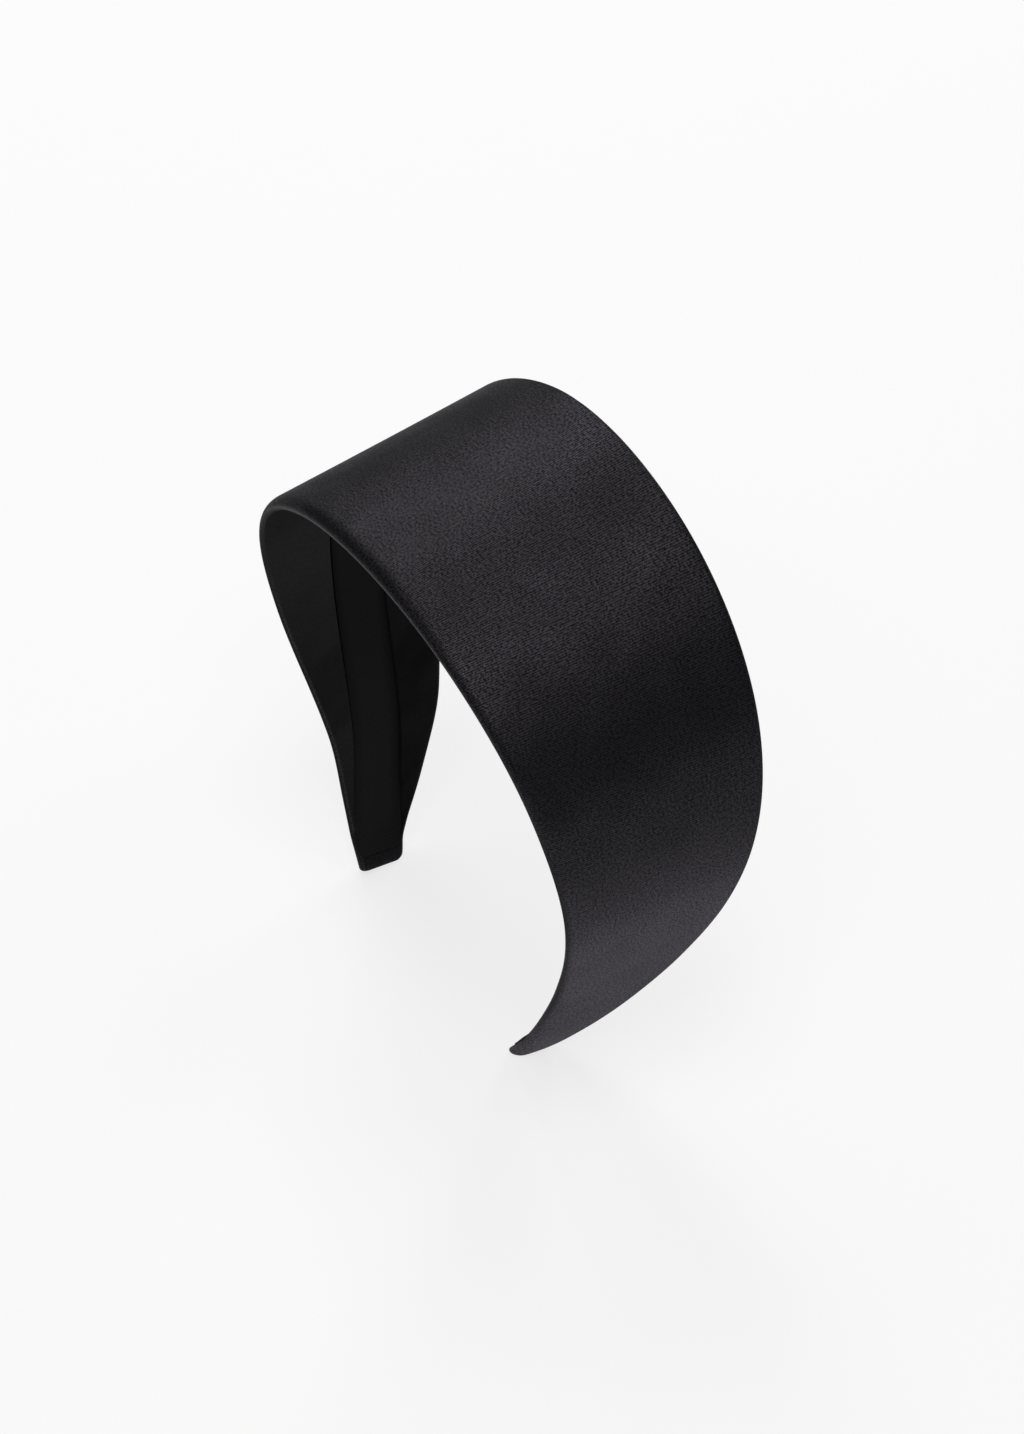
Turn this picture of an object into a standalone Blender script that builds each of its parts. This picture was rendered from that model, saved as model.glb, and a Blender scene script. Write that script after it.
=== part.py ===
"""A wide satin headband: a stiff covered band that stands on its two tips, with a ribbon lining inside.

Metres, +Z up. The wearer faces -Y, so the front edge of the band is on the -Y side.
The band is first shaped in its own frame, crown at the origin, and then leaned forward until its
weight is over its tips, where it stands.
"""

import math
from collections import namedtuple

import bmesh
import bpy
from mathutils import Euler, Vector

# Driving sizes of the band, in metres
HALF_LENGTH = 0.1938  # from the crown to a tip, along the middle of the wall
CROWN_WIDTH = 0.0665  # front edge to back edge at the crown
TIP_WIDTH = 0.0108  # the same at a tip, without its heel
LEG_SWEEP = 0.0080  # how far a leg's middle line wanders forwards or backwards
WALL = 0.0030  # stiff core, padding and satin together
EDGE_ROUND = 0.0011  # radius of the wall's inner corner, where the satin turns in
SHOULDER = 0.0035  # width over which the padded outer face rolls down to the edge
TIP_FRONT_ROUND = 0.0012  # corner radii of the tip's outline
TIP_BACK_ROUND = 0.0018
HEEL = 0.0015  # how far the folded satin stands out behind a tip
HEEL_LENGTH = 0.0060
FOLD = 0.0010  # how much thicker the folded satin makes a tip, on the inside
FOLD_LENGTH = 0.0090

# Driving sizes of the ribbon lining, in metres
LINING_WIDTH = 0.0145
LINING_WALL = 0.0010
LINING_EDGE_ROUND = 0.0003
LINING_MARGIN = 0.0011  # least satin left bare on each side of the ribbon, at the tips
LINING_END = 0.0035  # from the ribbon's end to the end of the tip
SEAT_GAP = 0.0003  # between the ribbon and the satin that it is glued to

# How the band is bent and how it stands
TIP_TURN = math.radians(123.3)  # how far the wall turns from the crown to a tip
CROWN_FLARE = 0.20  # rise of the wall towards its back edge at the crown, per metre of width
STAND_PITCH = math.radians(5.3)  # forward lean that brings the weight over the tips
TIP_SLANT_LENGTH = 0.030  # stretch over which a leg's sections turn level with the floor
FOOT_FLAT = 0.0004  # how far the cloth of a tip is pressed flat where it stands

# along: share of HALF_LENGTH. bend: how sharply the wall bends, against its mean.
# fullness: share of the way from TIP_WIDTH to CROWN_WIDTH. sweep: share of LEG_SWEEP.
# flare: share of CROWN_FLARE. drift: how far the ribbon strays from the middle, as a share of LEG_SWEEP.
Section = namedtuple("Section", "along bend fullness sweep flare drift")
SECTIONS = (
    Section(0.00, 1.17, 1.000, 0.00, 1.00, 0.00),
    Section(0.20, 1.24, 0.987, 0.09, 0.70, 0.00),
    Section(0.40, 1.51, 0.880, 0.30, 0.38, 0.00),
    Section(0.60, 1.12, 0.668, 0.50, 0.29, 0.00),
    Section(0.80, -0.14, 0.425, 0.54, 0.38, -0.36),
    Section(0.90, 0.57, 0.244, -0.05, 0.41, -0.28),
    Section(1.00, 0.77, 0.000, -0.99, 0.50, 0.00),
)

# Fineness of the meshes
STATIONS = 38  # sections from the crown to where a tip's folded satin starts
TIP_STATIONS = 5  # sections from there to the rounding of the tip's corners
CORNER_STEPS = 4  # steps round a tip's corner, and round the band's edges
FACE_STEPS = 3  # strips across each flat face
PROFILE_STEPS = 600  # steps of the sum that turns bend into a shape

CUT_DEPTH = 0.02
MERGE = 0.000001

SATIN = {"color": (0.018, 0.017, 0.019, 1.0), "roughness": 0.36}
RIBBON = {"color": (0.010, 0.010, 0.010, 1.0), "roughness": 0.75}


def column(name, along):
    """The value of one column at a share of the half length, on a smooth curve through its rows."""
    along = min(max(along, 0.0), 1.0)
    places = [row.along for row in SECTIONS]
    values = [getattr(row, name) for row in SECTIONS]
    last = len(places) - 1
    slopes = [0.0]
    for i in range(1, last):
        slopes.append((values[i + 1] - values[i - 1]) / (places[i + 1] - places[i - 1]))
    slopes.append((values[last] - values[last - 1]) / (places[last] - places[last - 1]))
    i = max(k for k in range(last) if places[k] <= along)
    span = places[i + 1] - places[i]
    t = (along - places[i]) / span
    return (
        values[i] * (1 + 2 * t) * (1 - t) ** 2
        + values[i + 1] * t * t * (3 - 2 * t)
        + slopes[i] * span * t * (1 - t) ** 2
        - slopes[i + 1] * span * t * t * (1 - t)
    )


def bent_profile():
    """The middle of the wall seen from the front: (length, x, z, heading) from the crown to past a tip."""
    step = 1.0 / PROFILE_STEPS
    bends = [column("bend", (i + 0.5) * step) for i in range(PROFILE_STEPS)]
    turn_per_bend = TIP_TURN / sum(bends)
    bends += [bends[-1]] * (PROFILE_STEPS // 10)
    length = x = z = heading = 0.0
    profile = [(length, x, z, heading)]
    for bend in bends:
        middle = heading + bend * turn_per_bend / 2
        length += step * HALF_LENGTH
        x += step * HALF_LENGTH * math.cos(middle)
        z -= step * HALF_LENGTH * math.sin(middle)
        heading += bend * turn_per_bend
        profile.append((length, x, z, heading))
    return profile


PROFILE = bent_profile()


def profile_at(length):
    """x, z and heading of the wall's middle at a length from the crown."""
    place = length / HALF_LENGTH * PROFILE_STEPS
    i = min(int(place), len(PROFILE) - 2)
    t = place - i
    before, after = PROFILE[i], PROFILE[i + 1]
    return [before[k] * (1 - t) + after[k] * t for k in (1, 2, 3)]


def nearness(length, reach):
    """Grows smoothly from 0 at a distance of reach from the tip to 1 at the tip."""
    share = min(max(1 - (HALF_LENGTH - length) / reach, 0.0), 1.0)
    return share * share * (3 - 2 * share)


def band_point(length, across, lift):
    """A point of the band: length from the crown, across from the middle line, lift out of the wall."""
    slant = across * math.tan(STAND_PITCH) * nearness(length, TIP_SLANT_LENGTH)
    x, z, heading = profile_at(length + slant)
    along = length / HALF_LENGTH
    out = lift + column("flare", along) * CROWN_FLARE * across
    y = across + column("sweep", along) * LEG_SWEEP
    return Vector((x + math.sin(heading) * out, y, z + math.cos(heading) * out))


def half_width(length):
    return (TIP_WIDTH + (CROWN_WIDTH - TIP_WIDTH) * column("fullness", length / HALF_LENGTH)) / 2


def inner_lift(length):
    """Lift of the inner face, which the folded satin thickens at a tip."""
    return -WALL / 2 - FOLD * nearness(length, FOLD_LENGTH)


def corner_inset(distance, radius):
    """How far a rounded corner has drawn the outline in, at a distance from the end."""
    if distance >= radius:
        return 0.0
    return radius - math.sqrt(radius**2 - (radius - distance) ** 2)


def wall_ring(front, back, inner, outer, shoulder, edge_round):
    """A closed section of a wall as (across, lift) points: front edge, outer face, back edge, inner face."""
    shoulder = min(shoulder, (back - front) * 0.4)
    edge_round = min(edge_round, (outer - inner) / 2)
    edge_lift = inner + edge_round
    quarter = [math.radians(90 * k / CORNER_STEPS) for k in range(CORNER_STEPS + 1)]
    outer_front = [
        (
            front + shoulder * (1 - math.cos(a)),
            edge_lift + (outer - edge_lift) * math.sin(a),
        )
        for a in quarter
    ]
    inner_front = [
        (
            front + edge_round * (1 - math.cos(a)),
            edge_lift - edge_round * math.sin(a),
        )
        for a in quarter[1:]
    ]

    def to_back(points):
        return [(back - (across - front), lift) for across, lift in reversed(points)]

    def face(start, end):
        return [
            (
                start[0] + (end[0] - start[0]) * k / FACE_STEPS,
                start[1] + (end[1] - start[1]) * k / FACE_STEPS,
            )
            for k in range(1, FACE_STEPS)
        ]

    outer_back = to_back(outer_front)
    inner_back = to_back(inner_front)
    ring = outer_front + face(outer_front[-1], outer_back[0]) + outer_back
    ring += inner_back[::-1] + face(inner_back[0], inner_front[-1]) + inner_front[::-1]
    return ring


def stations_to(end, corner):
    """Lengths of the sections: even ones, closer ones at the folded satin, the closest round a corner."""
    fold_start = HALF_LENGTH - FOLD_LENGTH
    start = end - corner
    even = [fold_start * i / STATIONS for i in range(STATIONS)]
    fold = [fold_start + (start - fold_start) * i / TIP_STATIONS for i in range(TIP_STATIONS + 1)]
    round_end = [
        start + corner * math.sin(math.radians(90 * k / CORNER_STEPS))
        for k in range(1, CORNER_STEPS + 1)
    ]
    return even + fold + round_end


def lofted_half(name, lengths, ring_at):
    """Wraps a grid round the sections from the crown to a tip, closes the tip and mirrors it."""
    rings = [[band_point(s, across, lift) for across, lift in ring_at(s)] for s in lengths]
    steps = len(rings[0])
    bm = bmesh.new()
    bmesh.ops.create_grid(bm, x_segments=len(lengths) - 1, y_segments=steps, size=0.5)
    for vert in bm.verts:
        station = round((vert.co.x + 0.5) * (len(lengths) - 1))
        place = round((vert.co.y + 0.5) * steps) % steps
        vert.co = rings[station][place]
    bmesh.ops.remove_doubles(bm, verts=bm.verts, dist=MERGE)
    tip_edges = [e for e in bm.edges if e.is_boundary and min(v.co.x for v in e.verts) > MERGE]
    bmesh.ops.holes_fill(bm, edges=tip_edges, sides=0)
    bmesh.ops.recalc_face_normals(bm, faces=bm.faces)
    mesh = bpy.data.meshes.new(name)
    bm.to_mesh(mesh)
    bm.free()
    mesh.shade_smooth()
    mesh.set_sharp_from_angle(angle=math.radians(40))
    part = bpy.data.objects.new(name, mesh)
    mirror = part.modifiers.new("other_half", "MIRROR")
    mirror.merge_threshold = MERGE
    return part


def satin_band():
    def ring_at(length):
        distance = HALF_LENGTH - length
        half = half_width(length)
        front = -half + corner_inset(distance, TIP_FRONT_ROUND)
        back = half - corner_inset(distance, TIP_BACK_ROUND) + HEEL * nearness(length, HEEL_LENGTH)
        return wall_ring(front, back, inner_lift(length), WALL / 2, SHOULDER, EDGE_ROUND)

    return lofted_half("satin_band", stations_to(HALF_LENGTH, TIP_BACK_ROUND), ring_at)


def ribbon_lining():
    def ring_at(length):
        outer = inner_lift(length) - SEAT_GAP
        inner = outer - LINING_WALL
        half = min(LINING_WIDTH / 2, half_width(length) - LINING_MARGIN)
        middle = column("drift", length / HALF_LENGTH) * LEG_SWEEP
        edge = LINING_EDGE_ROUND
        return wall_ring(middle - half, middle + half, inner, outer, edge, edge)

    end = HALF_LENGTH - LINING_END
    return lofted_half("ribbon_lining", stations_to(end, TIP_FRONT_ROUND), ring_at)


def material(name, look):
    made = bpy.data.materials.new(name)
    made.use_nodes = True
    shader = made.node_tree.nodes["Principled BSDF"]
    shader.inputs["Base Color"].default_value = look["color"]
    shader.inputs["Roughness"].default_value = look["roughness"]
    made.diffuse_color = look["color"]
    return made


def stand_up(stand, band):
    """Leans the band forward and sets its tips FOOT_FLAT below the floor, centred from front to back."""
    stand.rotation_euler = Euler((STAND_PITCH, 0.0, 0.0))
    bpy.context.view_layer.update()
    shaped = band.evaluated_get(bpy.context.evaluated_depsgraph_get())
    turn = stand.rotation_euler.to_matrix()
    placed = [turn @ vert.co for vert in shaped.data.vertices]
    front = min(p.y for p in placed)
    back = max(p.y for p in placed)
    bottom = min(p.z for p in placed)
    stand.location = (0.0, -(front + back) / 2, -bottom - FOOT_FLAT)


def floor_cutter(collection):
    """A slab under the floor, which presses the tips flat."""
    slab = bpy.data.meshes.new("floor_cutter")
    bm = bmesh.new()
    bmesh.ops.create_cube(bm, size=1.0)
    reach = 2 * HALF_LENGTH
    for vert in bm.verts:
        vert.co = (vert.co.x * reach, vert.co.y * reach, (vert.co.z - 0.5) * CUT_DEPTH)
    bm.to_mesh(slab)
    bm.free()
    cutter = bpy.data.objects.new("floor_cutter", slab)
    cutter.hide_render = True
    cutter.display_type = "WIRE"
    collection.objects.link(cutter)
    return cutter


def main():
    for old in list(bpy.data.objects):
        bpy.data.objects.remove(old, do_unlink=True)
    parts = bpy.data.collections.new("satin_headband")
    cutters = bpy.data.collections.new("cutters")
    for collection in (parts, cutters):
        bpy.context.scene.collection.children.link(collection)

    stand = bpy.data.objects.new("headband_stand", None)
    parts.objects.link(stand)
    band = satin_band()
    band.data.materials.append(material("black_satin", SATIN))
    lining = ribbon_lining()
    lining.data.materials.append(material("black_ribbon", RIBBON))
    for part in (band, lining):
        part.parent = stand
        parts.objects.link(part)

    stand_up(stand, band)
    feet = band.modifiers.new("flat_feet", "BOOLEAN")
    feet.operation = "DIFFERENCE"
    feet.object = floor_cutter(cutters)


main()
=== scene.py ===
# %% [markdown]
# # A wide satin headband
# The object is a stiff arch for the hair. A springy core is padded thinly, wrapped in black satin, and
# closed on the inside by a ribbon. The CAD solids are loaded first, as a frame: every piece made here has
# to lie where they are, because they are what the physics model collides with.

# %% Load the frame and keep its box
import math

import bmesh
import bpy
from mathutils import Matrix, Vector


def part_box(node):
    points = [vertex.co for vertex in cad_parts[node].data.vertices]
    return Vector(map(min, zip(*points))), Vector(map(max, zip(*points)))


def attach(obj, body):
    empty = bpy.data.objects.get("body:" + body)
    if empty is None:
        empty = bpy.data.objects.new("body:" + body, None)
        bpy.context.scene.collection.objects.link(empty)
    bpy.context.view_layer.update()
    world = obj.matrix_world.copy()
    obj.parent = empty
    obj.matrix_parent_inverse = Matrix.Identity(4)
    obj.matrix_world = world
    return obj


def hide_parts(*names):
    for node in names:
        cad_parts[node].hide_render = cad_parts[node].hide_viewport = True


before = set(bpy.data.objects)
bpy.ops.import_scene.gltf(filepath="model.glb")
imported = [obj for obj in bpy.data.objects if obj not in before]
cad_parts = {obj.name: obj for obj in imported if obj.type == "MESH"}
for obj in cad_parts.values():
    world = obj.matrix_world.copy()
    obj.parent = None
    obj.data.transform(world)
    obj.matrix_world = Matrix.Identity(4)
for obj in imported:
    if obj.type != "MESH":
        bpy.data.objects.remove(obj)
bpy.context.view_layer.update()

# %% [markdown]
# ## The camera
# The camera comes first, so that every later choice can be judged in the picture that matters. Its place
# was worked out from the outlines of the band in the photograph: it stands about 1.2 m away, to the front
# left of the wearer and well above, and is rolled by some 8 degrees. A long lens keeps the perspective
# gentle.

# %% The camera's place and directions
CAMERA_PLACE = Vector((0.67785, -0.52957, 0.82508))
CAMERA_AZIMUTH = math.radians(51.372)
CAMERA_ELEVATION = math.radians(40.765)
CAMERA_ROLL = math.radians(8.259)

backwards = Vector(
    (
        math.sin(CAMERA_AZIMUTH) * math.cos(CAMERA_ELEVATION),
        -math.cos(CAMERA_AZIMUTH) * math.cos(CAMERA_ELEVATION),
        math.sin(CAMERA_ELEVATION),
    )
)
level_right = Vector((math.cos(CAMERA_AZIMUTH), math.sin(CAMERA_AZIMUTH), 0.0))
level_up = backwards.cross(level_right)
right = level_right * math.cos(CAMERA_ROLL) + level_up * math.sin(CAMERA_ROLL)
up = level_up * math.cos(CAMERA_ROLL) - level_right * math.sin(CAMERA_ROLL)
print("the camera is", round(CAMERA_PLACE.length, 2), "m from the origin")

# %% Add the camera
IMAGE_HEIGHT = 1434
FOCAL_PIXELS = 4723.8
NEAREST_SEEN = 0.05

bpy.ops.object.camera_add(location=CAMERA_PLACE)
camera = bpy.context.object
camera.name = "photo_camera"
camera.rotation_euler = Matrix((right, up, backwards)).transposed().to_euler()
camera.data.lens = FOCAL_PIXELS / IMAGE_HEIGHT * camera.data.sensor_width
camera.data.clip_start = NEAREST_SEEN
bpy.context.scene.camera = camera
print("lens", round(camera.data.lens, 1), "mm")

# %% [markdown]
# ## The form of the band
# The band is a strip that bends from the crown to each tip, narrows, wanders a little backwards and then
# forwards, and leans outwards towards its back edge. A strip like this could be drawn as two curves and
# lofted, but a short table is easier to change: one row for each section, with the shares of a few real
# sizes. The sizes and the table are the same as in the CAD, so the cloth fits round the solids without
# any fitting by eye.

# %% Sizes of the band, and its table of sections
HALF_LENGTH = 0.1938
CROWN_WIDTH = 0.0665
TIP_WIDTH = 0.0108
WALL = 0.0030
LEG_SWEEP = 0.0080
CROWN_FLARE = 0.20
TIP_TURN = math.radians(123.3)

COLUMNS = ("along", "bend", "fullness", "sweep", "flare", "drift")
SECTIONS = (
    (0.00, 1.17, 1.000, 0.00, 1.00, 0.00),
    (0.20, 1.24, 0.987, 0.09, 0.70, 0.00),
    (0.40, 1.51, 0.880, 0.30, 0.38, 0.00),
    (0.60, 1.12, 0.668, 0.50, 0.29, 0.00),
    (0.80, -0.14, 0.425, 0.54, 0.38, -0.36),
    (0.90, 0.57, 0.244, -0.05, 0.41, -0.28),
    (1.00, 0.77, 0.000, -0.99, 0.50, 0.00),
)
print(len(SECTIONS), "sections from the crown to a tip, over", round(HALF_LENGTH * 1000, 1), "mm")


# %% Read a column of the table on a smooth curve
def column(name, along):
    """One column of the table at a share of the half length, on a smooth curve through its rows."""
    along = min(max(along, 0.0), 1.0)
    places = [row[0] for row in SECTIONS]
    values = [row[COLUMNS.index(name)] for row in SECTIONS]
    last = len(places) - 1
    slopes = [0.0]
    for i in range(1, last):
        slopes.append((values[i + 1] - values[i - 1]) / (places[i + 1] - places[i - 1]))
    slopes.append((values[last] - values[last - 1]) / (places[last] - places[last - 1]))
    i = max(k for k in range(last) if places[k] <= along)
    span = places[i + 1] - places[i]
    t = (along - places[i]) / span
    return (
        values[i] * (1 + 2 * t) * (1 - t) ** 2
        + values[i + 1] * t * t * (3 - 2 * t)
        + slopes[i] * span * t * (1 - t) ** 2
        - slopes[i + 1] * span * t * t * (1 - t)
    )


print("fullness half way down", round(column("fullness", 0.5), 3))

# %% Walk down the bent profile once, and a little past the tip
PROFILE_STEPS = 600
STEPS_PAST_TIP = 60

step = 1.0 / PROFILE_STEPS
bends = [column("bend", (i + 0.5) * step) for i in range(PROFILE_STEPS)]
turn_per_bend = TIP_TURN / sum(bends)
bends += [bends[-1]] * STEPS_PAST_TIP
profile = [(0.0, 0.0, 0.0)]
for bend in bends:
    x, z, heading = profile[-1]
    middle = heading + bend * turn_per_bend / 2
    profile.append(
        (
            x + step * HALF_LENGTH * math.cos(middle),
            z - step * HALF_LENGTH * math.sin(middle),
            heading + bend * turn_per_bend,
        )
    )
print("a tip lies", [round(v * 1000, 1) for v in profile[PROFILE_STEPS][:2]], "mm from the crown, in x and z")


# %% Look up the profile and the width at a length from the crown
def profile_at(length):
    """x, z and heading of the wall's middle at a length from the crown."""
    place = length / HALF_LENGTH * PROFILE_STEPS
    i = min(int(place), len(profile) - 2)
    t = place - i
    return [profile[i][k] * (1 - t) + profile[i + 1][k] * t for k in range(3)]


def smooth(share):
    """A share from 0 to 1 that starts and ends softly."""
    return share * share * (3 - 2 * share)


def nearness(length, reach):
    """Grows smoothly from 0 at a distance of reach from the tip to 1 at the tip."""
    return smooth(min(max(1 - (HALF_LENGTH - length) / reach, 0.0), 1.0))


def half_width(length):
    """Half the width of the band, front edge to back edge."""
    fullness = column("fullness", length / HALF_LENGTH)
    return (TIP_WIDTH + (CROWN_WIDTH - TIP_WIDTH) * fullness) / 2


def side_of(length):
    """Lengths below 0 run down the wearer's right."""
    return "right" if length < 0 else "left"


print("half widths", round(half_width(0.0) * 1000, 2), "and", round(half_width(HALF_LENGTH) * 1000, 2), "mm")

# %% [markdown]
# ## A point of the band
# Every piece of cloth is laid on the same form, so one function gives any point of it: how far from the
# crown, how far across, and how far out of the wall's middle. The satin is folded in at the tips, which
# makes them thicker on the inside, and each tip has its own thickness because no two hand-made folds are
# alike. The form is then leaned and moved until it stands where the CAD solids stand.

# %% Points of the band before it stands
STAND_PITCH = math.radians(5.3)
TIP_SLANT_LENGTH = 0.030
FOLD = {"left": 0.0002, "right": 0.0015}
FOLD_LENGTH = 0.0110


def inner_lift(length):
    """How far the inner face lies from the middle of the wall; the folded satin thickens the tips."""
    return -WALL / 2 - FOLD[side_of(length)] * nearness(abs(length), FOLD_LENGTH)


def band_point(length, across, lift, ahead=0.0):
    """A point of the band: length below 0 is on the wearer's right, and ahead is towards the tip."""
    side = -1.0 if length < 0 else 1.0
    length = abs(length) + ahead
    slant = across * math.tan(STAND_PITCH) * nearness(length, TIP_SLANT_LENGTH)
    x, z, heading = profile_at(max(length + slant, 0.0))
    along = length / HALF_LENGTH
    out = lift + column("flare", along) * CROWN_FLARE * across
    y = across + column("sweep", along) * LEG_SWEEP
    return Vector((side * (x + math.sin(heading) * out), y, z + math.cos(heading) * out))


print("left tip, not standing yet", [round(v * 1000, 1) for v in band_point(HALF_LENGTH, 0.0, 0.0)])

# %% Stand the form on the frame: lean it, then set its crown to the front of the CAD box
CROWN_HEIGHT = 0.147848
EDGE_ROUND = 0.0011
STAND_TURN = Matrix.Rotation(STAND_PITCH, 3, "X")

crown_front = band_point(0.0, -half_width(0.0), EDGE_ROUND - WALL / 2)
low, high = (Vector(corner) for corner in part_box("satin_band"))
STAND_SHIFT = Vector((0.0, low.y - (STAND_TURN @ crown_front).y, CROWN_HEIGHT))


def standing(point):
    """A point of the band as it stands, in the frame of the CAD."""
    return STAND_TURN @ point + STAND_SHIFT


print("crown front edge", [round(v * 1000, 2) for v in standing(crown_front)])
print("CAD front", round(low.y * 1000, 2), "back", round(high.y * 1000, 2), "top", round(high.z * 1000, 2))

# %% [markdown]
# ## The satin cover
# On the real band one piece of satin is pulled over a padded core and glued down on the inside. It shows
# as a broad smooth face, two soft rolled edges and two hems that run up to the ribbon. A cloth simulation
# would need a remesh of 4 mm, and this wall is only 3 mm thick, so the cover is wrapped as a tailor would
# do it: a flat grid of cloth, whose one direction runs from tip to tip and the other once round the wall.
# The grid keeps its UV map, in metres, and so the weave can follow the cloth round every edge.


# %% Rounded corners and even steps
def corner_inset(distance, radius):
    """How far a rounded corner has drawn the outline in, at a distance from the end."""
    if distance >= radius:
        return 0.0
    return radius - math.sqrt(radius**2 - (radius - distance) ** 2)


def spread(start, end, steps):
    """Even values from start up to, but without, end."""
    return [start + (end - start) * k / steps for k in range(steps)]


print("a tenth from the end, a corner draws in", round(corner_inset(0.1, 1.0), 3), "of its radius")

# %% A closed section with rounded edges
ARC_STEPS = 7
MOST_SHOULDER = 0.4


def wall_ring(front, back, inner, outer, shoulders, edge_round, outer_steps, inner_points):
    """A closed section as (across, lift) points: front edge, outer face, back edge, inner face."""
    shoulders = [min(shoulder, (back - front) * MOST_SHOULDER) for shoulder in shoulders]
    edge_round = min(edge_round, (outer - inner) / 2)
    edge_lift = inner + edge_round
    rise = outer - edge_lift
    quarter = [math.radians(90 * k / ARC_STEPS) for k in range(ARC_STEPS + 1)]
    outer_front, outer_back = [
        [(shoulder * (1 - math.cos(a)), edge_lift + rise * math.sin(a)) for a in quarter]
        for shoulder in shoulders
    ]
    outer_front = [(front + a, lift) for a, lift in outer_front]
    outer_back = [(back - a, lift) for a, lift in reversed(outer_back)]
    inner_front = [
        (front + edge_round * (1 - math.cos(a)), edge_lift - edge_round * math.sin(a))
        for a in quarter[1:]
    ]
    inner_back = [(back - (a - front), lift) for a, lift in inner_front]
    across = spread(front + shoulders[0], back - shoulders[1], outer_steps)[1:]
    outside = outer_front + [(a, outer) for a in across] + outer_back
    inside = inner_points(front + edge_round, back - edge_round)
    return outside + inner_back + inside + inner_front[::-1]


print("each rounded edge has", ARC_STEPS, "steps")

# %% Where the ribbon runs, and the bed that it lies in
LINING_WIDTH = 0.0145
LINING_MARGIN = 0.0011
BED_FRONT_GAP = 0.0008
BED_BACK_GAP = 0.00015
BED_NARROWING = 0.7
BED_NARROWING_LENGTH = 0.090
BED_STEP = 0.0004


def ribbon_edges(length):
    """Where the ribbon's front and back edges run at a length from the crown."""
    half = min(LINING_WIDTH / 2, half_width(length) - LINING_MARGIN)
    middle = column("drift", length / HALF_LENGTH) * LEG_SWEEP
    return middle - half, middle + half


def bed_edges(length, front, back):
    """Where the bed begins and ends between the hems: a little outside the edges of the ribbon."""
    near, far = ribbon_edges(length)
    near -= BED_FRONT_GAP * (1 - BED_NARROWING * nearness(length, BED_NARROWING_LENGTH))
    far += BED_BACK_GAP
    return max(near, front + BED_STEP), min(far, back - BED_STEP)


print("ribbon edges at the crown", [round(v * 1000, 2) for v in ribbon_edges(0.0)], "mm")

# %% The inner face, with the shallow bed
BED = 0.0014
BED_END = 0.030
HEM_STEPS = 6
SLOPE_STEPS = 4
BED_FLOOR_STEPS = 10


def bed_points(length, inner):
    """The inner face from back to front: hem, slope down, bed of the ribbon, slope up, hem."""
    deep = BED * (1 - nearness(length, BED_END))
    slope = 2 * BED_STEP

    def points(front, back):
        near, far = bed_edges(length, front, back)
        places = spread(back, far, HEM_STEPS)[1:] + spread(far, far - slope, SLOPE_STEPS)
        places += spread(far - slope, near + slope, BED_FLOOR_STEPS)
        places += spread(near + slope, near, SLOPE_STEPS) + spread(near, front, HEM_STEPS)
        ring = []
        for across in places:
            share = min(max(min(across - near, far - across) / slope, 0.0), 1.0)
            ring.append((across, inner + deep * smooth(share)))
        return ring

    return points


print("the bed is", round(BED * 1000, 1), "mm deep and fades out over the last", round(BED_END * 1000), "mm")

# %% The nose of folded satin at each tip
NOSE = {"left": 0.0019, "right": 0.0002}
NOSE_LENGTH = 0.0100


def nose(length, lift):
    """How much further the folded satin runs on the inside of a tip than on its outside."""
    side = side_of(length)
    share = (WALL / 2 - lift) / (WALL + FOLD[side])
    return NOSE[side] * nearness(abs(length), NOSE_LENGTH) * min(max(share, 0.0), 1.0)


print("nose of the left tip", round(nose(HALF_LENGTH, -WALL / 2) * 1000, 2), "mm")


# %% [markdown]
# ## Wrapping a grid of cloth
# A grid primitive is a flat sheet with a tidy UV map. Bent round the sections, row by row, it becomes a
# tube: its two long sides meet and are merged, and its two ends are closed with one face each. The same
# could be done by hand with a lattice or a curve, but then the cloth would stretch. Here every row and
# column knows its own place, which also serves later to say where the satin shines.


# %% Measure the cloth before it is laid
def placed_rings(lengths, ring_at):
    """The points of every section, as the band stands."""
    return [
        [standing(band_point(length, across, lift, nose(length, lift))) for across, lift in ring_at(length)]
        for length in lengths
    ]


def walk_round(ring, middle_place):
    """How far round its section each point lies from the middle of the outer face, in metres of cloth."""
    walk = [0.0]
    for k in range(len(ring)):
        walk.append(walk[-1] + (ring[(k + 1) % len(ring)] - ring[k]).length)
    return [value - walk[middle_place] for value in walk]


square = [Vector(corner) for corner in ((0, 0), (1, 0), (1, 1), (0, 1))]
print("once round a unit square", walk_round(square, 0))

# %% Lay a flat grid on the sections
MERGE_DISTANCE = 0.000001


def lay_cloth(cloth, lengths, rings, walks):
    """Lays each point of a flat grid on its section, with its UV, its place in the section and length."""
    steps = len(rings[0])
    bm = bmesh.new()
    bm.from_mesh(cloth.data)
    uv_map = bm.loops.layers.uv.active
    place_of = bm.verts.layers.float.new("round_place")
    length_of = bm.verts.layers.float.new("from_crown")

    def address(vert):
        station = round((vert.co.x + 0.5) * (len(lengths) - 1))
        return station, round((vert.co.y + 0.5) * steps)

    for face in bm.faces:
        for loop in face.loops:
            station, place = address(loop.vert)
            loop[uv_map].uv = (lengths[station], walks[station][place])
    for vert in bm.verts:
        station, place = address(vert)
        vert.co = rings[station][place % steps]
        vert[place_of] = place % steps
        vert[length_of] = lengths[station]
    bmesh.ops.remove_doubles(bm, verts=bm.verts, dist=MERGE_DISTANCE)
    bmesh.ops.holes_fill(bm, edges=[e for e in bm.edges if e.is_boundary], sides=0)
    bmesh.ops.recalc_face_normals(bm, faces=bm.faces)
    bm.to_mesh(cloth.data)
    bm.free()


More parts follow.
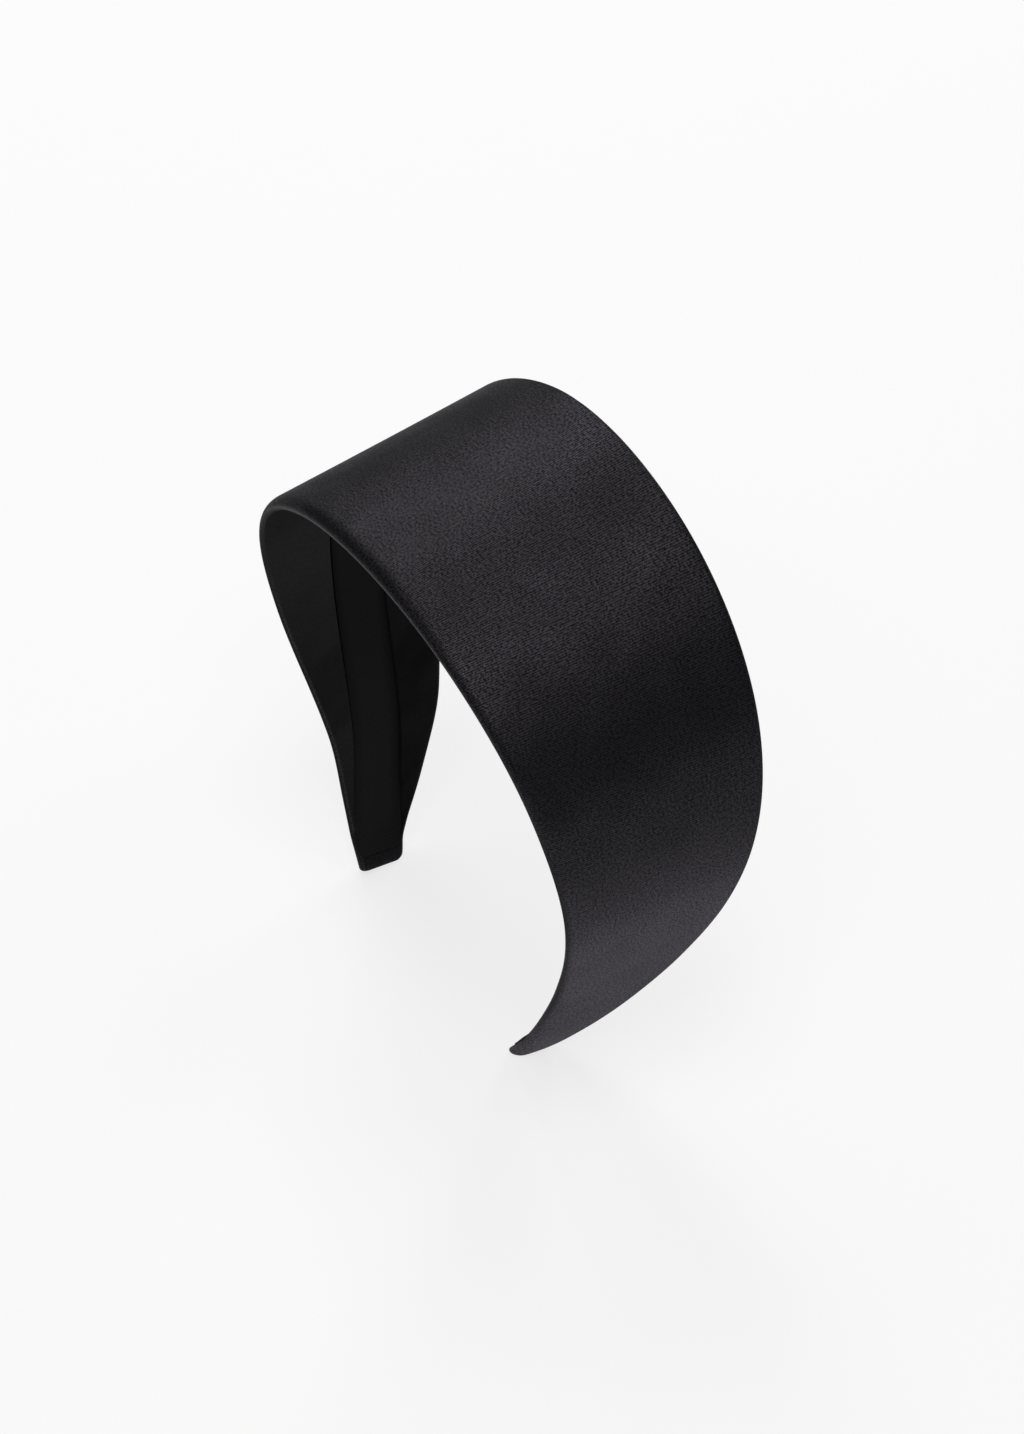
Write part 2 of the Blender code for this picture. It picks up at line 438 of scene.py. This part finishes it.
print("points closer than", round(MERGE_DISTANCE * 1000, 3), "mm are merged")

# %% Make one wrapped piece of cloth
SMOOTH_ANGLE = math.radians(40)


def wrapped_cloth(name, lengths, ring_at, middle_place):
    """Makes a closed tube of cloth; UV in metres from the crown and from the outer face's middle."""
    rings = placed_rings(lengths, ring_at)
    walks = [walk_round(ring, middle_place) for ring in rings]
    bpy.ops.object.select_all(action="DESELECT")
    bpy.ops.mesh.primitive_grid_add(
        x_subdivisions=len(lengths) - 1, y_subdivisions=len(rings[0]), size=1.0, calc_uvs=True
    )
    cloth = bpy.context.object
    cloth.name = name
    cloth.data.name = name
    lay_cloth(cloth, lengths, rings, walks)
    bpy.ops.object.shade_smooth_by_angle(angle=SMOOTH_ANGLE)
    print(name, len(cloth.data.polygons), "faces", len(rings[0]), "points in a section")
    return cloth


print("edges sharper than", round(math.degrees(SMOOTH_ANGLE)), "degrees stay sharp")

# %% Where the sections stand, from tip to tip
EVEN_STEPS = 110
FINE_LENGTH = 0.012
FINE_STEPS = 14
CORNER_STEPS = 6


def stations(end, corner):
    """Lengths of the sections from tip to tip: even, then closer at the tips and round their corners."""
    half = spread(0.0, end - FINE_LENGTH, EVEN_STEPS)
    half += spread(end - FINE_LENGTH, end - corner, FINE_STEPS)
    turns = [math.radians(90 * k / CORNER_STEPS) for k in range(CORNER_STEPS + 1)]
    half += [end - corner + corner * math.sin(turn) for turn in turns]
    return [-length for length in reversed(half[1:])] + half


print(len(stations(HALF_LENGTH, 0.0)), "sections from tip to tip")

# %% The satin's own section
OUTER_STEPS = 26
FRONT_SHOULDER = 0.0035
BACK_SHOULDER = {"left": 0.0018, "right": 0.0008}
CROWN_BLEND = 0.040
TIP_FRONT_ROUND = 0.0008
TIP_BACK_ROUND = {"left": 0.0048, "right": 0.0013}
HEEL = {"left": 0.0004, "right": 0.0015}
TOE = {"left": 0.0005, "right": 0.0}
HEEL_LENGTH = 0.0060


def cover_edges(length):
    """Where the satin's front and back edges run: rounded at the tips, with a small toe and heel of folds."""
    side = side_of(length)
    distance = HALF_LENGTH - abs(length)
    half = half_width(abs(length))
    near_tip = nearness(abs(length), HEEL_LENGTH)
    front = -half + corner_inset(distance, TIP_FRONT_ROUND) - TOE[side] * near_tip
    back = half - corner_inset(distance, TIP_BACK_ROUND[side]) + HEEL[side] * near_tip
    return front, back


def cover_ring(length):
    """The satin's section at a length from the crown; the back shoulder is softer on the wearer's left."""
    front, back = cover_edges(length)
    inner = inner_lift(length)
    left_share = min(max(length / CROWN_BLEND + 0.5, 0.0), 1.0)
    back_shoulder = BACK_SHOULDER["left"] * left_share + BACK_SHOULDER["right"] * (1 - left_share)
    shoulders = (FRONT_SHOULDER, back_shoulder)
    face = bed_points(abs(length), inner)
    return wall_ring(front, back, inner, WALL / 2, shoulders, EDGE_ROUND, OUTER_STEPS, face)


print("cover edges at the crown", [round(v * 1000, 2) for v in cover_edges(0.0)], "mm")

# %% Make the cover, and press its tips flat where they stand
satin_cover = wrapped_cloth(
    "satin_cover",
    stations(HALF_LENGTH, TIP_BACK_ROUND["right"]),
    cover_ring,
    middle_place=ARC_STEPS + OUTER_STEPS // 2,
)
pressed_points = [vert for vert in satin_cover.data.vertices if vert.co.z < 0.0]
for vert in pressed_points:
    vert.co.z = 0.0
satin_cover.data.update()
print(len(pressed_points), "points of the tips pressed flat")

# %% [markdown]
# ## Where the satin shines, and where shade is painted on it
# The satin isn't alike all over. Glued down as a hem it has one flat tone, and stretched round the front
# edge of the crown it catches the lamps. Shade is painted into its colour on the back hem and the bed, on
# the shoulder behind the crown's front edge, and round the front edge of the legs, which also get the
# hems' flat tone as painted shade. Such places could be painted by hand or kept in an image. Here every
# point of the cloth knows its place in its section and its length from the crown, so short formulas give
# its shares, and the finish reads them as attributes.


# %% Give each point of a cloth its share
def mark(cloth, name, share_of):
    """Keeps a share for each point, from its place in the section and its length, as an attribute."""
    places = [item.value for item in cloth.data.attributes["round_place"].data]
    lengths = [item.value for item in cloth.data.attributes["from_crown"].data]
    shares = [share_of(round(place), length) for place, length in zip(places, lengths)]
    cloth.data.attributes.new(name, "FLOAT", "POINT").data.foreach_set("value", shares)
    print(name, "marks", sum(share > 0 for share in shares), "of", len(shares), "points")


def ramp(value, start, end):
    """0 up to start, 1 from end on, straight in between."""
    return min(max((value - start) / (end - start), 0.0), 1.0)


print("half way up a ramp", ramp(5, 0, 10))

# %% Round the front edge of the legs, where shade is painted on
SECTION_POINTS = len(cover_ring(0.0))
OUTER_POINTS = 2 * (ARC_STEPS + 1) + OUTER_STEPS - 1
LEG_EDGE_REACH = {"left": 4, "right": 10}
LEG_EDGE_BLEND = 3
LEG_EDGE_BEGINS = (0.070, 0.105)
LEG_EDGE_FADING = {"left": 0.8, "right": 0.0}
LEG_EDGE_FADE_LENGTH = 0.045


def leg_edge(place, length):
    """1 round the front edge of a leg, where shade is painted; on the wearer's left it fades towards the tip.
    """
    side = side_of(length)
    from_edge = place if place < OUTER_POINTS else 2 * (SECTION_POINTS - place)
    share = ramp(LEG_EDGE_REACH[side] - from_edge, 0, LEG_EDGE_BLEND) * ramp(abs(length), *LEG_EDGE_BEGINS)
    return share * (1 - LEG_EDGE_FADING[side] * nearness(abs(length), LEG_EDGE_FADE_LENGTH))


print(OUTER_POINTS, "of", SECTION_POINTS, "points of a section are on the outside")

# %% The hems, and painted shade round the legs' front edge
# Round the legs' front edge the hems' flat tone is laid on as painted shade.
LEG_EDGE_HEM_SHADE = 0.9
TIP_HEM_LOSS = 0.26
TIP_HEM_LENGTH = 0.010


def hem_and_shade_share(place, length):
    """0 on the outer face, 1 on the hems, and nearly so round the front edge of the legs, as painted shade.
    """
    inward = min(place - OUTER_POINTS + 1, SECTION_POINTS - place)
    hem = ramp(inward, 0, ARC_STEPS) * (1 - TIP_HEM_LOSS * nearness(abs(length), TIP_HEM_LENGTH))
    return max(hem, LEG_EDGE_HEM_SHADE * leg_edge(place, length))


mark(satin_cover, "hem", hem_and_shade_share)

# %% The shine of the front edge
EDGE_SHINE_REACH = 2.2
OUTSIDE_PACE = 1.6
CROWN_SHINE_ENDS = (0.030, 0.085)
FOLD_SHINE = 0.5
FOLD_SHINE_LENGTH = 0.009


def front_edge_share(place, length):
    """The shine: round the front edge at the crown, and a little on the folds at the tips."""
    outside = place < OUTER_POINTS
    distance = place * OUTSIDE_PACE if outside else SECTION_POINTS - place
    crown = 1 - ramp(abs(length), *CROWN_SHINE_ENDS)
    folded = 0.0 if outside else FOLD_SHINE * nearness(abs(length), FOLD_SHINE_LENGTH)
    return max(ramp(EDGE_SHINE_REACH - distance, 0, EDGE_SHINE_REACH) * crown, folded)


mark(satin_cover, "front_edge", front_edge_share)

# %% Painted shade: the back hem and bed, the shoulder behind the front edge, the legs' front edge
# Where shade falls, the colour is painted darker: in the bed and on the back hem, beside the rolled front
# edge of the crown, and round the legs' front edge.
BED_FRONT = OUTER_POINTS + ARC_STEPS + (HEM_STEPS - 1) + SLOPE_STEPS + BED_FLOOR_STEPS + SLOPE_STEPS // 2
BED_FRONT_BLEND = 2
BACK_HEM_END = 0.012
SHOULDER_SHADE = 0.5
SHOULDER_PLACE = 4
SHOULDER_REACH = 3.3
SHOULDER_ENDS = (0.045, 0.100)
LEG_EDGE_SHADE = {"left": 0.25, "right": 0.85}


def painted_shade_share(place, length):
    """Painted shade: on the back hem and the bed, on the shoulder behind the front edge, round the legs'
    front edge.
    """
    back_hem_shade = ramp(place, OUTER_POINTS, OUTER_POINTS + ARC_STEPS)
    back_hem_shade -= ramp(place, BED_FRONT, BED_FRONT + BED_FRONT_BLEND)
    back_hem_shade *= 1 - nearness(abs(length), BACK_HEM_END)
    shoulder = SHOULDER_SHADE * max(1 - abs(place - SHOULDER_PLACE) / SHOULDER_REACH, 0.0)
    shoulder *= 1 - ramp(abs(length), *SHOULDER_ENDS)
    return max(back_hem_shade, shoulder, LEG_EDGE_SHADE[side_of(length)] * leg_edge(place, length))


mark(satin_cover, "painted_shade", painted_shade_share)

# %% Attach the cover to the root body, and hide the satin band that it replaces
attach(satin_cover, "root")
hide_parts("satin_band")
print("satin_cover replaces satin_band")

# %% [markdown]
# ## The ribbon lining
# A ribbon covers the raw edges of the satin on the inside. It is one flat strip, glued from tip to tip,
# that ends a little before the tips. It lies in a shallow bed between the hems, which are thicker because
# the satin is doubled there, so a thin dark line of shadow runs along each of its edges; that shadow is
# also painted into its colour, with painted shade over its upper part. It could be a flat plane given a
# wall, but wrapped like the cover it follows the same form and gets the same kind of UV map.

# %% The ribbon's section
LINING_END = 0.0035
RIBBON_STEPS = 14
RIBBON_WALL = 0.0008
RIBBON_END_WALL = 0.0003
RIBBON_EDGE = 0.0002
GLUE_DEPTH = 0.00005


def ribbon_ring(length):
    """The ribbon's section at a length from the crown."""
    near_end = nearness(abs(length), BED_END)
    outer = inner_lift(length) + BED * (1 - near_end) + GLUE_DEPTH
    inner = outer - (RIBBON_WALL + (RIBBON_END_WALL - RIBBON_WALL) * near_end)
    front, back = ribbon_edges(abs(length))
    edges = (RIBBON_EDGE, RIBBON_EDGE)

    def face(near, far):
        return [(across, inner) for across in spread(far, near, RIBBON_STEPS)[1:]]

    return wall_ring(front, back, inner, outer, edges, RIBBON_EDGE, RIBBON_STEPS, face)


print("the ribbon is", round(RIBBON_WALL * 1000, 1), "mm thick")

# %% Lay the ribbon
RIBBON_CORNER = 0.0006

ribbon = wrapped_cloth(
    "ribbon",
    stations(HALF_LENGTH - LINING_END, RIBBON_CORNER),
    ribbon_ring,
    middle_place=ARC_STEPS + RIBBON_STEPS // 2,
)

# %% The painted shadow and shade of the ribbon
RIBBON_FRONT = len(ribbon_ring(0.0)) - ARC_STEPS
RIBBON_BACK = RIBBON_FRONT - RIBBON_STEPS
FRONT_SHADOW_REACH = 3.2
FRONT_SHADOW_LOSS = 0.6
FRONT_SHADOW_FADES = (0.080, 0.150)
BACK_SHADOW = 0.55
BACK_SHADOW_REACH = 3.5
UPPER_SHADOW = 0.42
UPPER_SHADOW_ENDS = (0.100, 0.145)
RIBBON_TIP_LENGTH = 0.020


def ribbon_painted_shadow_share(place, length):
    """Painted shadow, darkest at the front edge and less at the back edge, painted shade over the upper part,
    and none at the tips.
    """
    front = 1 - ramp(RIBBON_FRONT - place, 0, FRONT_SHADOW_REACH)
    front *= 1 - FRONT_SHADOW_LOSS * ramp(abs(length), *FRONT_SHADOW_FADES)
    back = BACK_SHADOW * (1 - ramp(abs(place - RIBBON_BACK), 0, BACK_SHADOW_REACH))
    upper = UPPER_SHADOW * (1 - ramp(abs(length), *UPPER_SHADOW_ENDS))
    return max(front, back, upper) * (1 - nearness(abs(length), RIBBON_TIP_LENGTH))


mark(ribbon, "edge", ribbon_painted_shadow_share)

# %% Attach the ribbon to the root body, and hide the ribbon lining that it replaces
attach(ribbon, "root")
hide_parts("ribbon_lining")
print("flat ribbon", [round(v * 1000, 1) for v in (LINING_WIDTH, 2 * (HALF_LENGTH - LINING_END))], "mm")

# %% [markdown]
# ## Weave, as a node group
# Satin is woven so that most of each thread floats on the face. From a short distance that reads as a
# fine, slightly uneven grain with hardly visible lines across the cloth. The ribbon is woven too, but
# with plain ribs. Both finishes need threads, so the pattern is a node group, built once, that turns the
# UV map in metres into a height and a tone. Image textures would do it as well, but a group stays sharp
# at every distance.


# %% Add and join nodes
def add_node(tree, kind, x, y, values=None, **settings):
    """A node at a place in the tree, with its settings and the values of its inputs."""
    node = tree.nodes.new(kind)
    node.location = (x, y)
    for name, value in settings.items():
        setattr(node, name, value)
    for socket, value in (values or {}).items():
        node.inputs[socket].default_value = value
    return node


def join(tree, *pairs):
    """Links the first socket of each pair to the second."""
    for start, end in pairs:
        tree.links.new(start, end)


# %% The sockets of the weave group
weave = bpy.data.node_groups.new("weave", "ShaderNodeTree")
for name, side, kind, value in (
    ("Cloth", "INPUT", "NodeSocketVector", None),
    ("Grain per mm", "INPUT", "NodeSocketFloat", 2.2),
    ("Ribs per mm", "INPUT", "NodeSocketFloat", 1.6),
    ("Rib share", "INPUT", "NodeSocketFloat", 0.3),
    ("Height", "OUTPUT", "NodeSocketFloat", None),
    ("Tone", "OUTPUT", "NodeSocketFloat", None),
):
    socket = weave.interface.new_socket(name=name, in_out=side, socket_type=kind)
    if value is not None:
        socket.default_value = value
cloth_in = add_node(weave, "NodeGroupInput", -900, 0)
cloth_out = add_node(weave, "NodeGroupOutput", 700, 0)
print("weave takes", [socket.name for socket in cloth_in.outputs if socket.name])

# %% The grain and the ribs of the weave
MM_PER_M = (1000.0, 1000.0, 1000.0)
SCALE_PER_RIB = 0.314

in_mm = add_node(weave, "ShaderNodeVectorMath", -700, 0, {1: MM_PER_M}, operation="MULTIPLY")
grain = add_node(weave, "ShaderNodeTexNoise", -400, 150, {"Detail": 2.0, "Roughness": 0.75})
ribs = add_node(
    weave,
    "ShaderNodeTexWave",
    -400,
    -150,
    {"Distortion": 0.6, "Detail": 1.0, "Detail Scale": 0.4},
    wave_type="BANDS",
    bands_direction="X",
)
ribs_scale = add_node(weave, "ShaderNodeMath", -600, -250, {1: SCALE_PER_RIB}, operation="MULTIPLY")
join(
    weave,
    (cloth_in.outputs["Cloth"], in_mm.inputs[0]),
    (in_mm.outputs[0], grain.inputs["Vector"]),
    (in_mm.outputs[0], ribs.inputs["Vector"]),
    (cloth_in.outputs["Grain per mm"], grain.inputs["Scale"]),
    (cloth_in.outputs["Ribs per mm"], ribs_scale.inputs[0]),
    (ribs_scale.outputs[0], ribs.inputs["Scale"]),
)
print("grain and ribs read the cloth in millimetres")

# %% Mix grain and ribs to a height and a tone
mix_height = add_node(weave, "ShaderNodeMix", 0, 0, data_type="FLOAT")
stretch_tone = add_node(weave, "ShaderNodeMapRange", 350, -150, {"From Min": 0.38, "From Max": 0.62})
join(
    weave,
    (cloth_in.outputs["Rib share"], mix_height.inputs["Factor"]),
    (grain.outputs["Fac"], mix_height.inputs["A"]),
    (ribs.outputs["Fac"], mix_height.inputs["B"]),
    (mix_height.outputs["Result"], cloth_out.inputs["Height"]),
    (mix_height.outputs["Result"], stretch_tone.inputs["Value"]),
    (stretch_tone.outputs["Result"], cloth_out.inputs["Tone"]),
)
print("weave group with", len(weave.nodes), "nodes")

# %% [markdown]
# ## The satin's finish
# Black satin is mostly gloss: its own colour is nearly nothing, and what shows is a broad, blurred
# reflection of the lamps and of the floor. A plain dielectric shines too much where it is seen at a flat
# angle, and a metal too little, so the finish lies between the two. The grain breaks the reflection up,
# so it goes to the colour of the reflection, to the roughness and to a bump. Where the satin was pressed
# down as a hem it has one flat tone, which round the legs' front edge is painted shade.


# %% A woven finish
def cloth_finish(name, dark, light, rough, bump, weave_values, pressed, pressed_and_shade_mark):
    """A finish whose weave chooses between two tones and two roughnesses, with its bump in metres; a mark
    lays a flat tone over it, which can be painted shade.
    """
    made = bpy.data.materials.new(name)
    made.use_nodes = True
    tree = made.node_tree
    shader = tree.nodes["Principled BSDF"]
    cloth_uv = add_node(tree, "ShaderNodeUVMap", -1100, 0)
    threads = add_node(tree, "ShaderNodeGroup", -850, 0, node_tree=weave)
    for socket, value in weave_values.items():
        threads.inputs[socket].default_value = value
    woven = add_node(tree, "ShaderNodeMix", -600, 250, data_type="RGBA")
    woven.inputs["A"].default_value = (*dark, 1.0)
    woven.inputs["B"].default_value = (*light, 1.0)
    # A mark lays one flat tone over the weave: for the satin the hems' tone, also painted shade on the legs'
    # front edge; for the ribbon, painted shadow.
    mask = add_node(tree, "ShaderNodeAttribute", -600, 450, attribute_name=pressed_and_shade_mark)
    woven_pressed_and_shade = add_node(tree, "ShaderNodeMix", -300, 250, data_type="RGBA")
    woven_pressed_and_shade.inputs["B"].default_value = (*pressed, 1.0)
    roughness = add_node(tree, "ShaderNodeMapRange", -500, -50, {"To Min": rough[0], "To Max": rough[1]})
    relief = add_node(tree, "ShaderNodeBump", -300, -300, {"Strength": 1.0, "Distance": bump})
    join(
        tree,
        (cloth_uv.outputs["UV"], threads.inputs["Cloth"]),
        (threads.outputs["Tone"], woven.inputs["Factor"]),
        (threads.outputs["Tone"], roughness.inputs["Value"]),
        (threads.outputs["Height"], relief.inputs["Height"]),
        (woven.outputs["Result"], woven_pressed_and_shade.inputs["A"]),
        (mask.outputs["Fac"], woven_pressed_and_shade.inputs["Factor"]),
        (woven_pressed_and_shade.outputs["Result"], shader.inputs["Base Color"]),
        (roughness.outputs["Result"], shader.inputs["Roughness"]),
        (relief.outputs["Normal"], shader.inputs["Normal"]),
    )
    print(name, "with", len(tree.nodes), "nodes")
    return made, {"uv": cloth_uv, "woven": woven, "pressed": woven_pressed_and_shade, "relief": relief}


def set_shader(finish, values):
    """Sets plain values on the sockets of a finish's own shader, and returns the shader."""
    shader = finish.node_tree.nodes["Principled BSDF"]
    for socket, value in values.items():
        shader.inputs[socket].default_value = value
    return shader


# %% The black satin
satin, satin_nodes = cloth_finish(
    "black_satin",
    dark=(0.0044, 0.0027, 0.0020),
    light=(0.0420, 0.0408, 0.0484),
    rough=(0.58, 0.44),
    bump=0.00008,
    weave_values={"Grain per mm": 1.6, "Ribs per mm": 1.7, "Rib share": 0.15},
    # The hems' own flat tone, laid on round the legs' front edge as painted shade too.
    pressed=(0.0182, 0.0173, 0.0182),
    pressed_and_shade_mark="hem",
)
satin_shader = set_shader(
    satin,
    {
        "Metallic": 0.72,
        "Specular IOR Level": 0.5,
        "Specular Tint": (0.25, 0.24, 0.26, 1.0),
        "Coat Roughness": 0.30,
    },
)
satin_tree = satin.node_tree
satin_cover.data.materials.append(satin)

# %% [markdown]
# ## What makes the satin uneven, and the sheen painted on its legs
# The padding under the satin isn't quite even, so the reflections swell a little from place to place, and
# the tone with them. Down the legs the grain is a little calmer, and towards the tips a brighter
# reflection is painted into the satin's colour. The swelling could be modelled, but it is below a
# millimetre, and a bump is enough.

# %% The unevenness of the padding
SWELLS_PER_M = 70.0
SWELL_HEIGHT = 0.0007

swell = add_node(satin_tree, "ShaderNodeTexNoise", -850, -450, {"Scale": SWELLS_PER_M, "Detail": 1.0})
swell_relief = add_node(
    satin_tree, "ShaderNodeBump", -550, -450, {"Strength": 1.0, "Distance": SWELL_HEIGHT}
)
clouds = add_node(
    satin_tree,
    "ShaderNodeMapRange",
    -550,
    -650,
    {"From Min": 0.36, "From Max": 0.64, "To Min": 0.93, "To Max": 1.06},
)
join(
    satin_tree,
    (satin_nodes["uv"].outputs["UV"], swell.inputs["Vector"]),
    (swell.outputs["Fac"], swell_relief.inputs["Height"]),
    (swell_relief.outputs["Normal"], satin_nodes["relief"].inputs["Normal"]),
    (swell.outputs["Fac"], clouds.inputs["Value"]),
)
print("swells of", round(SWELL_HEIGHT * 1000, 1), "mm at most, some", round(1000 / SWELLS_PER_M), "mm apart")

# %% The length of cloth from the crown, where the grain calms, and where sheen is painted on
CALM_BEGINS, CALM_FULL = 0.040, 0.064
CALM_SHARE = 0.20
# Painted sheen: from the first length on, the satin's colour is raised towards the tips, in place of a
# brighter reflection on the lower legs.
SHEEN_BEGINS, SHEEN_FULL = 0.090, 0.133

cloth_axes = add_node(satin_tree, "ShaderNodeSeparateXYZ", -1100, 700)
from_crown = add_node(satin_tree, "ShaderNodeMath", -900, 700, operation="ABSOLUTE")
calm = add_node(
    satin_tree,
    "ShaderNodeMapRange",
    -900,
    900,
    {"From Min": CALM_BEGINS, "From Max": CALM_FULL, "To Max": CALM_SHARE},
)
sheen_share = add_node(
    satin_tree,
    "ShaderNodeMapRange",
    -700,
    700,
    {"From Min": SHEEN_BEGINS, "From Max": SHEEN_FULL},
    interpolation_type="SMOOTHSTEP",
)
join(
    satin_tree,
    (satin_nodes["uv"].outputs["UV"], cloth_axes.inputs["Vector"]),
    (cloth_axes.outputs["X"], from_crown.inputs[0]),
    (from_crown.outputs[0], calm.inputs["Value"]),
    (from_crown.outputs[0], sheen_share.inputs["Value"]),
)
print("tighter satin from", round(SHEEN_BEGINS * 1000), "mm, in full from", round(SHEEN_FULL * 1000), "mm")

# %% Calmer, cloudy and sheen-painted tones, one after the other
CALM_TONE = (0.0232, 0.0218, 0.0252, 1.0)
PAINTED_SHEEN_GAIN = (3.3, 3.3, 3.3, 1.0)

calm_tones = add_node(satin_tree, "ShaderNodeMix", -700, 500, data_type="RGBA")
calm_tones.inputs["B"].default_value = CALM_TONE
cloudy_tones = add_node(satin_tree, "ShaderNodeVectorMath", -600, 350, operation="SCALE")
# The last mix multiplies the tones up by the painted sheen towards the tips.
sheened_tones = add_node(
    satin_tree, "ShaderNodeMix", -450, 500, data_type="RGBA", blend_type="MULTIPLY"
)
sheened_tones.inputs["B"].default_value = PAINTED_SHEEN_GAIN
join(
    satin_tree,
    (calm.outputs["Result"], calm_tones.inputs["Factor"]),
    (satin_nodes["woven"].outputs["Result"], calm_tones.inputs["A"]),
    (calm_tones.outputs["Result"], cloudy_tones.inputs[0]),
    (clouds.outputs["Result"], cloudy_tones.inputs["Scale"]),
    (sheen_share.outputs["Result"], sheened_tones.inputs["Factor"]),
    (cloudy_tones.outputs["Vector"], sheened_tones.inputs["A"]),
    (sheened_tones.outputs["Result"], satin_nodes["pressed"].inputs["A"]),
)
print("the lower legs reflect", PAINTED_SHEEN_GAIN[0], "times as much as the crown")

# %% Painted shade, and the shine of the front edge
PAINTED_SHADE_GAIN = (0.42, 0.42, 0.42, 1.0)
EDGE_SHINE = 0.35

# This mark multiplies the satin's colour down as painted shade on the back hem and bed, behind the crown's
# front edge and round the legs' front edge.
painted_shade = add_node(satin_tree, "ShaderNodeAttribute", -300, 850, attribute_name="painted_shade")
painted_shade_tones = add_node(satin_tree, "ShaderNodeMix", -100, 400, data_type="RGBA", blend_type="MULTIPLY")
painted_shade_tones.inputs["B"].default_value = PAINTED_SHADE_GAIN
edge_shine = add_node(satin_tree, "ShaderNodeAttribute", -300, 650, attribute_name="front_edge")
coat = add_node(satin_tree, "ShaderNodeMath", -100, 650, {1: EDGE_SHINE}, operation="MULTIPLY")
join(
    satin_tree,
    (painted_shade.outputs["Fac"], painted_shade_tones.inputs["Factor"]),
    (satin_nodes["pressed"].outputs["Result"], painted_shade_tones.inputs["A"]),
    (painted_shade_tones.outputs["Result"], satin_shader.inputs["Base Color"]),
    (edge_shine.outputs["Fac"], coat.inputs[0]),
    (coat.outputs[0], satin_shader.inputs["Coat Weight"]),
)
print("black_satin now has", len(satin_tree.nodes), "nodes")

# %% [markdown]
# ## The ribbon's finish
# The ribbon is matt beside the satin: fine plain ribs, hardly any gloss, and two tones that are close
# together. It could share the satin's finish with other values, but it needs none of the swelling or the
# shine, so it uses the woven finish as it is, and its mark paints a dark shadow along its edges and shade
# over its upper part.

# %% The black ribbon
ribbon_finish, ribbon_nodes = cloth_finish(
    "black_ribbon",
    dark=(0.0132, 0.0132, 0.0133),
    light=(0.0168, 0.0168, 0.0169),
    rough=(0.90, 0.80),
    bump=0.00002,
    weave_values={"Grain per mm": 1.2, "Ribs per mm": 1.3, "Rib share": 0.35},
    # This near-black flat tone is painted shadow, laid on by the ribbon's edge mark.
    pressed=(0.0024, 0.0024, 0.0024),
    pressed_and_shade_mark="edge",
)
set_shader(ribbon_finish, {"Specular IOR Level": 0.08})
ribbon.data.materials.append(ribbon_finish)

# %% [markdown]
# ## The floor
# The photo was taken against white. A white floor lit by lamps alone would need so much light that the
# satin would turn grey, so the floor is pale and glows by itself. That keeps the ground white and the
# shadow faint.

# %% Floor
FLOOR_SIZE = 12.0
FLOOR_DROP = 0.0002

bpy.ops.object.select_all(action="DESELECT")
bpy.ops.mesh.primitive_plane_add(size=FLOOR_SIZE, location=(0.0, 0.0, -FLOOR_DROP))
floor = bpy.context.object
floor.name = "floor"
floor_finish = bpy.data.materials.new("pale_floor")
floor_finish.use_nodes = True
set_shader(
    floor_finish,
    {
        "Base Color": (0.24, 0.24, 0.24, 1.0),
        "Roughness": 0.9,
        "Specular IOR Level": 0.2,
        "Emission Color": (1.0, 1.0, 1.0, 1.0),
        "Emission Strength": 0.750,
    },
)
floor.data.materials.append(floor_finish)
print("floor of", FLOOR_SIZE, "m")

# %% [markdown]
# ## The lamps
# What shows on black satin is the mirror image of the lamps, so each soft box is placed for one broad
# sheen: on the crown, down the near leg, on the far leg and behind. Fewer lamps would do for plain light,
# but then the dark band across the near side would be in the wrong place.

# %% A soft box
LIGHT_SIZE = 0.5
LIGHT_DISTANCE = 1.6
LIGHT_BASE = 0.07
LIGHT_AIM = Vector((0.0, 0.0, 0.08))


def placed_round(azimuth, elevation):
    """A place round the band: azimuth 0 is in front of the wearer, 90 at the wearer's left."""
    a, e = math.radians(azimuth), math.radians(elevation)
    return Vector(
        (
            math.sin(a) * math.cos(e) * LIGHT_DISTANCE,
            -math.cos(a) * math.cos(e) * LIGHT_DISTANCE,
            math.sin(e) * LIGHT_DISTANCE + LIGHT_BASE,
        )
    )


def soft_light(name, azimuth, elevation, power):
    """A square area light that looks at the middle of the band."""
    place = placed_round(azimuth, elevation)
    bpy.ops.object.light_add(type="AREA", location=place)
    light = bpy.context.object
    light.name = name
    light.data.size = LIGHT_SIZE
    light.data.energy = power
    light.rotation_euler = (LIGHT_AIM - place).to_track_quat("-Z", "Y").to_euler()
    print(name, power, "W at", [round(v, 2) for v in place])


# %% Place the lamps: azimuth, elevation and power
LIGHTS = (
    ("soft_top", 36, 74, 6.9),
    ("soft_right_high", -75, 52, 1.5),
    ("soft_right_low", -106, 31, 4.2),
    ("soft_right_back", -103, 52, 4.8),
    ("soft_left", 60, 58, 3.1),
    ("soft_front", 30, 50, 3.3),
    ("soft_back", 150, 66, 1.6),
    ("soft_behind", 210, 20, 5.5),
)
for name, azimuth, elevation, power in LIGHTS:
    soft_light(name, azimuth, elevation, power)

# %% A world without light of its own
world = bpy.data.worlds.new("studio")
world.use_nodes = True
background = world.node_tree.nodes["Background"]
background.inputs["Color"].default_value = (1.0, 1.0, 1.0, 1.0)
background.inputs["Strength"].default_value = 0.0
bpy.context.scene.world = world
bpy.context.scene.view_settings.view_transform = "Standard"
print("world strength", background.inputs["Strength"].default_value)
